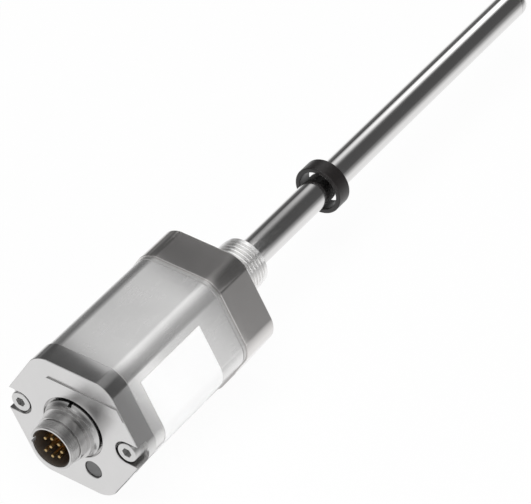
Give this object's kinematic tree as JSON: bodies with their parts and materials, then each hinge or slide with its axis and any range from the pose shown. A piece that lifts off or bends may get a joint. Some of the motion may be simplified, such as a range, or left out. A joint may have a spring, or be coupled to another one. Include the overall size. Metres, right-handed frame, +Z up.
{
  "type": "magnetostrictive linear position sensor",
  "caption": "Rod-style position sensor: hexagonal metal housing with a round pin connector, threaded mounting flange, thin pressure rod and a ring magnet that slides along the rod.",
  "frame": {"origin": "centre of the flange's mounting face, where the sensor meets its port", "axes": "+X along the rod towards its tip, +Z up from the flat the housing lies on, +Y to the left when looking along +X"},
  "size_m": [0.2722, 0.0508, 0.046],
  "materials": {
    "cap_metal": "smooth, nearly polished",
    "screw_steel": "plain stainless",
    "seal_rubber": "matte black",
    "tube_aluminium": "satin anodised, fine lines along the axis",
    "label_foil": "bare white foil",
    "flange_steel": "turned and ground stainless",
    "rod_steel": "drawn stainless",
    "magnet_black": "moulded, satin",
    "connector_nickel": "nickel plated",
    "insert_plastic": "moulded black",
    "pin_gold": "gold plated",
    "window_plastic": "smoky light guide",
    "lamp": "clear moulded lamp",
    "board_laminate": "green solder resist",
    "chip_black": "moulded black",
    "capacitor_can": "plain can",
    "header_plastic": "moulded cream",
    "lead_sleeve": "heat-shrink sleeve",
    "cradle_plastic": "moulded grey-black",
    "waveguide_alloy": "drawn alloy wire",
    "sleeve_plastic": "white fluoropolymer",
    "damper_rubber": "soft moulded",
    "brass_small": "plain brass",
    "return_insulation": "red insulation",
    "bobbin_plastic": "moulded natural",
    "coil_copper": "enamelled copper winding",
    "bias_ferrite": "sintered"
  },
  "bodies": {
    "sensor": {"rear_cap": "cap_metal", "tie_screws": "screw_steel", "cap_gasket": "seal_rubber", "housing_tube": "tube_aluminium", "label": "label_foil", "flange_gasket": "seal_rubber", "mounting_flange": "flange_steel", "flange_o_ring": "seal_rubber", "sensing_rod": "rod_steel", "rod_end_plug": "rod_steel", "connector_shell": "connector_nickel", "connector_seal": "seal_rubber", "connector_nut": "connector_nickel", "connector_insert": "insert_plastic", "contact_pins": "pin_gold", "status_window": "window_plastic", "status_led": "lamp", "led_board": "board_laminate", "electronics_carrier": "cradle_plastic", "circuit_board": "board_laminate", "board_chips": "chip_black", "board_capacitors": "capacitor_can", "lead_header": "header_plastic", "lead_bundle": "lead_sleeve", "waveguide_wire": "waveguide_alloy", "waveguide_sleeve": "sleeve_plastic", "sleeve_spacers": "sleeve_plastic", "tip_damper": "damper_rubber", "tip_crimp": "brass_small", "return_wire": "return_insulation", "pickup_bobbin": "bobbin_plastic", "pickup_coil": "coil_copper", "bias_magnet": "bias_ferrite", "head_damper": "damper_rubber", "wire_anchor": "brass_small"},
    "magnet": {"position_magnet": "magnet_black"}
  },
  "joints": [
    {"name": "magnet_slide", "type": "slide", "parent": "sensor", "child": "magnet", "axis": [1, 0, 0], "range_m": [-0.0361, 0.0639]}
  ]
}
